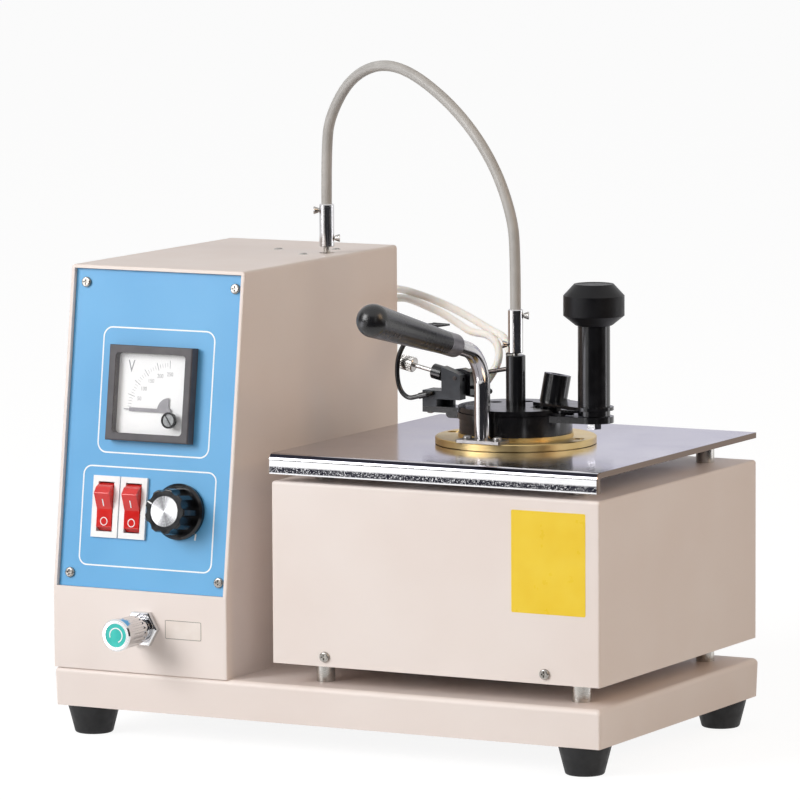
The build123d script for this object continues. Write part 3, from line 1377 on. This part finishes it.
def knob_sleeve():
    """Tall fixed sleeve on the arm, in which the knob's shaft turns."""
    sleeve = rod(stem_x, stem_y, bridge_z1, sleeve_z1 - FREE, SLEEVE_R)
    return sleeve - rod(stem_x, stem_y, bridge_z1 - 1, sleeve_z1 + 1, DRIVE_SHAFT_R + RUN)


def shutter_knob():
    """Turned black knob with two wide chamfers, on top of the sleeve."""
    h1 = TOP_KNOB_LOW
    h2 = h1 + TOP_KNOB_MID
    h3 = h2 + TOP_KNOB_HIGH
    knob = turned(
        [
            (0, 0),
            (TOP_KNOB_FOOT_R, 0),
            (TOP_KNOB_R, h1),
            (TOP_KNOB_R, h2),
            (TOP_KNOB_HEAD_R, h3),
            (TOP_KNOB_HEAD_R - 1.0, h3),
            (TOP_KNOB_HEAD_R - 1.6, h3 - 0.3),
            (0, h3 - 0.3),
        ],
        stem_x,
        stem_y,
        sleeve_z1,
    )
    return knob - rod(stem_x, stem_y, sleeve_z1 - 1, sleeve_z1 + 12.0, DRIVE_SHAFT_R)


# ================================================================ test flame device
def flame_local(shape):
    """Moves a shape drawn about the lid's axis, with heights above the flange, into place."""
    return Pos(LID_X, LID_Y, flange_z) * shape


def burner_bracket():
    """Black bracket standing on the lid's left lug, with an upright block that holds the pivot."""
    z0, z1 = lug_z1 - flange_z, BRACKET_ARM_Z1
    x0 = -LUG_REACH
    post_x1 = x0 + BRACKET_POST_W
    y0, y1 = -LUG_HALF, LUG_HALF
    post = box(x0, post_x1, y0, y1, z0, z1)
    back = box(x0, x0 + BRACKET_BACK_REACH, y1 - BRACKET_BACK_T, y1, z0, z1)
    arm = box(x0, BLOCK_X1, y0, BLOCK_Y1, BRACKET_ARM_Z0, z1)
    block_outline = [
        (BLOCK_X0, BRACKET_ARM_Z0),
        (BLOCK_X1, BRACKET_ARM_Z0),
        (BLOCK_X1, BLOCK_TOP_RIGHT - BLOCK_NOSE_DROP),
        (BLOCK_X1 - BLOCK_NOSE_W, BLOCK_TOP_RIGHT),
        (BLOCK_X0, BLOCK_TOP_LEFT),
    ]
    block = Pos(0, BLOCK_Y1, 0) * prism(Plane.XZ, block_outline, BLOCK_Y1 - y0)
    bracket = post + back + arm + block
    bracket -= Pos(PIVOT_X, y0, PIVOT_Z) * Rot(90, 0, 0) * Cylinder(PIVOT_R, 30)
    bracket -= flame_screw_line().location * Cylinder(FLAME_ROD_R + RUN, 60)
    bracket -= Pos(PILOT_HOLE_X, 0, PILOT_HOLE_Z) * Rot(90, 0, 0) * Cylinder(PILOT_R, 40)
    return flame_local(bracket)


def flame_screw_line():
    """Axis of the flame screw: it enters the block's left side and rises away from it."""
    a = radians(FLAME_SCREW_ANGLE)
    return Plane(
        origin=(BLOCK_X0, FLAME_SCREW_Y, FLAME_SCREW_Z), x_dir=(0, 1, 0), z_dir=(-cos(a), 0, sin(a))
    )


def flame_screw():
    """Steel screw with a knurled head that sets the size of the flame."""
    shank = Pos(0, 0, -FLAME_ROD_IN) * Cylinder(
        FLAME_ROD_R, FLAME_ROD_L + FLAME_ROD_IN, align=(Align.CENTER, Align.CENTER, Align.MIN)
    )
    head = Pos(0, 0, FLAME_ROD_L) * Cylinder(
        FLAME_HEAD_R, FLAME_HEAD_L, align=(Align.CENTER, Align.CENTER, Align.MIN)
    )
    head = chamfer(head.edges().group_by(Axis.Z)[0] + head.edges().group_by(Axis.Z)[-1], 0.4)
    for k in range(FLAME_GROOVES):
        groove = Pos(FLAME_HEAD_R + 0.1, 0, FLAME_ROD_L + FLAME_HEAD_L / 2) * Cylinder(
            0.35, FLAME_HEAD_L - 1.2
        )
        head -= Rot(0, 0, 360.0 * k / FLAME_GROOVES) * groove
    return flame_local(flame_screw_line().location * (shank + head))


def lock_nut():
    """Black round lock nut on the flame screw, against the block."""
    lean_gap = LOCK_NUT_R * tan(radians(FLAME_SCREW_ANGLE)) + 0.05
    nut = Pos(0, 0, lean_gap) * Cylinder(
        LOCK_NUT_R, LOCK_NUT_T, align=(Align.CENTER, Align.CENTER, Align.MIN)
    )
    nut = chamfer(nut.edges(), 0.3)
    nut -= Cylinder(FLAME_ROD_R + RUN, 60)
    return flame_local(flame_screw_line().location * nut)


def burner_jet():
    """Tilting burner: a body on the pivot and a fine tube with a bead at its tip."""
    outline = [
        (BLOCK_X0 + JET_INSET, BRACKET_ARM_Z1 + FREE),  # clears the arm as the jet tilts
        (JET_X1, JET_Z0),
        (JET_X1, PIVOT_Z + 2.6),
        (PIVOT_X, PIVOT_Z + 4.2),
        (BLOCK_X0 + JET_INSET, PIVOT_Z + 3.4),
    ]
    body = Pos(0, JET_Y1, 0) * prism(Plane.XZ, outline, JET_Y1 - JET_Y0)
    y = (JET_Y0 + JET_Y1) / 2
    tube = bar((JET_X1 - 1.0, y, JET_Z0 + 4.2), (JET_TIP_X, JET_TIP_Y, JET_TIP_Z), JET_TUBE_R)
    tip = Pos(JET_TIP_X, JET_TIP_Y, JET_TIP_Z) * Sphere(JET_TIP_R)
    jet = body + tube + tip
    jet -= Pos(PIVOT_X, 0, PIVOT_Z) * Rot(90, 0, 0) * Cylinder(PIVOT_R + RUN, 60)
    return flame_local(jet)


def along_line(start, toward, length):
    """The point a given way from start, toward another point."""
    a, b = Vector(*start), Vector(*toward)
    end = a + (b - a).normalized() * length
    return (end.X, end.Y, end.Z)


# Hose ends about the lid's axis: where each hose is pushed on, and a point up along the hose.
UNION = (GAS_UNION_X, GAS_ARM_Y, GAS_UNION_Z)
OUTER_HOSE_UP = (-15.7, 21.3, 46.3)
OUTER_HOSE_TIP = along_line(UNION, OUTER_HOSE_UP, GAS_UNION_L)
INNER_HOSE_TIP = (-26.1, 13.1, 21.1)
INNER_HOSE_UP = (-21.1, 13.5, 27.1)


def test_gas_pipe():
    """Gas pipe of the burner: the pivot, a straight pipe and an elbow with a hose nipple."""
    pivot = bar((PIVOT_X, -LUG_HALF - 0.3, PIVOT_Z), (PIVOT_X, GAS_ARM_Y, PIVOT_Z), PIVOT_R)
    boss = bar((PIVOT_X, JET_Y1 + FREE, PIVOT_Z), (PIVOT_X, GAS_ARM_Y + 2.4, PIVOT_Z), 3.2)
    pipe = bar((PIVOT_X, GAS_ARM_Y, PIVOT_Z), UNION, GAS_ARM_R)
    elbow = Pos(*UNION) * Sphere(GAS_UNION_R + 0.3)
    nipple = bar(UNION, OUTER_HOSE_TIP, GAS_UNION_R - 0.3)
    collar = bar(along_line(UNION, OUTER_HOSE_UP, GAS_UNION_L / 2), OUTER_HOSE_TIP, GAS_UNION_R)
    return flame_local(pivot + boss + pipe + elbow + nipple + collar)


# The pilot pipe about the lid's axis: from its hose through the bracket, then up in a loop.
PILOT_ROUTE = (
    INNER_HOSE_TIP,
    along_line(INNER_HOSE_TIP, INNER_HOSE_UP, -5.0),
    (PILOT_HOLE_X, LUG_HALF + 4.5, PILOT_HOLE_Z),
    (PILOT_HOLE_X, PILOT_Y, PILOT_HOLE_Z),
    (-50.4, PILOT_Y, 18.2),
)
PILOT_LOOP = (
    (-52.8, 17.6),
    (-55.6, 17.1),
    (-58.5, 18.1),
    (-61.2, 21.3),
    (-62.7, 26.7),
    (-62.9, 32.0),
    (-61.8, 38.4),
    (-59.5, 43.1),
    (-56.0, 48.0),
    (-51.2, 51.9),
    (-46.2, 53.9),
    (-42.0, 54.5),
)


def pilot_pipe():
    """Thin black pilot pipe: from its hose, through the bracket's arm and up in an open loop,
    ending in a flattened tip."""
    first = FilletPolyline(*PILOT_ROUTE, radius=[3.2, 3.2, 2.1])
    points = [first @ 1] + [Vector(x, PILOT_Y, z) for x, z in PILOT_LOOP]
    loop = Spline(*points, tangents=[first % 1, (1, 0, 0.08)])
    path = Wire(first.edges() + loop.edges())
    section = Plane(origin=path @ 0, z_dir=path % 0) * Circle(PILOT_R)
    pipe = sweep(section, path=path)
    sleeve_start = Vector(PILOT_HOLE_X - PILOT_SLEEVE_R, PILOT_Y, PILOT_HOLE_Z - 0.4)
    sleeve = bar(tuple(sleeve_start), tuple(first @ 1), PILOT_SLEEVE_R)
    tip = Vector(PILOT_LOOP[-1][0], PILOT_Y, PILOT_LOOP[-1][1])
    leaf = Pos(tip.X + 4.6, tip.Y, tip.Z + 0.4) * Rot(0, 90 - 4, 0) * Cone(1.4, 0.5, 9.0)
    back = Pos(tip.X, tip.Y, tip.Z) * Sphere(1.4)
    return flame_local(pipe + sleeve + leaf + back)


# ================================================================ stirrer
def stirrer_shaft():
    """Steel stirrer shaft with two pairs of flat blades, hanging in the cup."""
    low = lid_z0 - STIR_LOW
    shaft = rod(0, 0, low - 3.0, low_coupling_z0 + STIR_SHAFT_UP, STIR_SHAFT_R)
    for z in (low, lid_z0 - STIR_HIGH):
        blade = Rot(STIR_BLADE_PITCH, 0, 0) * Box(2 * STIR_BLADE_L, STIR_BLADE_T, STIR_BLADE_W)
        other = Rot(-STIR_BLADE_PITCH, 0, 0) * Box(2 * STIR_BLADE_L, STIR_BLADE_T, STIR_BLADE_W)
        right = blade & box(0, 50, -20, 20, -20, 20)
        left = other & box(-50, 0, -20, 20, -20, 20)
        hub = Cylinder(STIR_HUB_R, STIR_BLADE_W)
        shaft += Pos(0, 0, z) * (right + left + hub)
    return lid_local(shaft)


def coupling(x, y, z0, bore_up, turn):
    """Plain turned sleeve that clamps the flexible shaft to a steel shaft below it."""
    body = rod(x, y, z0, z0 + COUPLING_L, COUPLING_R)
    body = chamfer(body.edges().group_by(Axis.Z)[0] + body.edges().group_by(Axis.Z)[-1], 0.4)
    body -= rod(x, y, z0 - 1, z0 + COUPLING_BORE_L, bore_up + RUN)
    for plane in thumb_planes(x, y, z0, turn):
        body -= plane.location * Cylinder(THUMB_SHANK_R, 4.4)
    return body


def thumb_planes(x, y, z0, turn):
    """Where the two clamping screws sit: high on one side, low on the other."""
    planes = []
    for side, z in ((1, z0 + COUPLING_L - THUMB_FROM_END), (-1, z0 + THUMB_FROM_END + 1.2)):
        cx, cy = on_circle(side * (COUPLING_R - 0.05), turn)
        dx, dy = on_circle(side, turn)
        planes.append(Plane(origin=(x + cx, y + cy, z), z_dir=(dx, dy, 0)))
    return planes


def thumb_screws(x, y, z0, turn):
    """Two small slotted screws that clamp the shafts in their coupling."""
    screws = []
    for plane in thumb_planes(x, y, z0, turn):
        head = Pos(0, 0, 0.4) * Cone(
            THUMB_NECK_R, THUMB_R, THUMB_HEAD_L, align=(Align.CENTER, Align.CENTER, Align.MIN)
        )
        head = fillet(head.edges().group_by(Axis.Z)[-1], 0.4)
        head -= Pos(0, 0, 0.4 + THUMB_HEAD_L) * Box(2 * THUMB_R + 1, 0.6, 1.4)
        shank = Pos(0, 0, 0.4) * Cylinder(
            THUMB_SHANK_R, 2.4, align=(Align.CENTER, Align.CENTER, Align.MAX)
        )
        screws.append(plane.location * (head + shank))
    return screws


# ================================================================ cords
def lid_point(point):
    """A point about the lid's axis and above its flange, in the model's frame."""
    return (LID_X + point[0], LID_Y + point[1], flange_z + point[2])


OUTER_HOSE_ROUTE = (
    (outer_nipple_x, rear_y + NIPPLE_REACH, OUTER_NIPPLE_Z),
    (outer_nipple_x, rear_y + NIPPLE_REACH + 24.8, OUTER_NIPPLE_Z),
    (-100.1, 145.1, 209.1),
    (-81.9, 145.0, 209.2),
    (-59.5, 121.5, 210.0),
    (-34.5, 98.6, 208.9),
    (-11.7, 76.0, 207.6),
    (10.7, 54.3, 205.2),
    (32.5, 33.2, 202.2),
    lid_point(OUTER_HOSE_UP),
    lid_point(OUTER_HOSE_TIP),
)
INNER_HOSE_ROUTE = (
    (inner_nipple_x, rear_y + NIPPLE_REACH, INNER_NIPPLE_Z),
    (inner_nipple_x, rear_y + NIPPLE_REACH + 16.6, INNER_NIPPLE_Z),
    (-87.3, 133.6, 202.8),
    (-74.5, 133.1, 206.0),
    (-57.6, 115.6, 206.9),
    (-37.9, 92.3, 206.9),
    (-16.4, 70.8, 206.0),
    (3.6, 50.3, 203.4),
    (19.9, 33.6, 201.0),
    (32.6, 27.3, 201.4),
    (41.4, 22.3, 197.0),
    (44.4, 17.3, 189.5),
    lid_point(INNER_HOSE_UP),
    lid_point(INNER_HOSE_TIP),
)


def main():
    os.makedirs("parts", exist_ok=True)
    save("base_tray", base_tray())
    save("rubber_feet", *rubber_feet())
    save("standoffs", *standoffs())
    save("control_box_shell", control_box_shell())
    save("rear_panel", rear_panel())
    save("front_panel", front_panel())
    save("case_screws", *case_screws())
    save("meter_case", meter_case())
    save("meter_dial", meter_dial())
    save("meter_window", meter_window())
    save("meter_needle", meter_needle())
    save("meter_zero_screw", meter_zero_screw())
    save("switch_frames", *switch_frames())
    save("power_rocker", rocker(SWITCH_LEFT_U, SWITCH_V))
    save("stir_rocker", rocker(SWITCH_RIGHT_U, SWITCH_V))
    save("voltage_knob", voltage_knob())
    save("voltage_knob_cap", voltage_knob_cap())
    save("voltage_regulator", voltage_regulator())
    save("gas_valve_body", gas_valve_body())
    save("gas_valve_knob", gas_valve_knob())
    save("gas_valve_cap", gas_valve_cap())
    save("motor_housing", motor_housing())
    save("motor_shaft", motor_shaft())
    save("motor_screws", *motor_screws())
    save("mains_inlet", mains_inlet())
    save("rear_gas_nipples", *rear_gas_nipples())
    save("heater_box_shell", heater_box_shell())
    save("heater_box_base", heater_box_base())
    save("air_bath", air_bath())
    save("heating_element", heating_element())
    save("cover_plate", cover_plate())
    save("cup", cup())
    save("handle_foot_plate", handle_foot_plate())
    save("handle_screws", *handle_screws())
    save("handle_tube", handle_tube())
    save("handle_ferrule", handle_ferrule())
    save("handle_grip", handle_grip())
    save("lid", lid())
    save("bridge_plate", bridge_plate())
    save("stirrer_bearing", stirrer_bearing())
    save("thermometer_ferrule", thermometer_ferrule())
    save("shutter", shutter())
    save("crank_shaft", crank_shaft())
    save("crank_bolt", crank_bolt())
    save("knob_sleeve", knob_sleeve())
    save("shutter_knob", shutter_knob())
    save("burner_bracket", burner_bracket())
    save("flame_screw", flame_screw())
    save("lock_nut", lock_nut())
    save("burner_jet", burner_jet())
    save("test_gas_pipe", test_gas_pipe())
    save("pilot_pipe", pilot_pipe())
    save("stirrer_shaft", stirrer_shaft())
    save("lower_coupling", coupling(LID_X, LID_Y, low_coupling_z0, STIR_SHAFT_R, LOW_THUMB_ANGLE))
    save("lower_thumb_screws", *thumb_screws(LID_X, LID_Y, low_coupling_z0, LOW_THUMB_ANGLE))
    save("upper_coupling", coupling(motor_x, MOTOR_SHAFT_Y, high_coupling_z0, MOTOR_SHAFT_R, HIGH_THUMB_ANGLE))
    save("upper_thumb_screws", *thumb_screws(motor_x, MOTOR_SHAFT_Y, high_coupling_z0, HIGH_THUMB_ANGLE))
    save("flexible_shaft", cord("flexible_shaft", FLEX_ROUTE, FLEX_R))
    save("gas_hose_outer", cord("gas_hose_outer", OUTER_HOSE_ROUTE, HOSE_R))
    save("gas_hose_inner", cord("gas_hose_inner", INNER_HOSE_ROUTE, HOSE_R))


main()
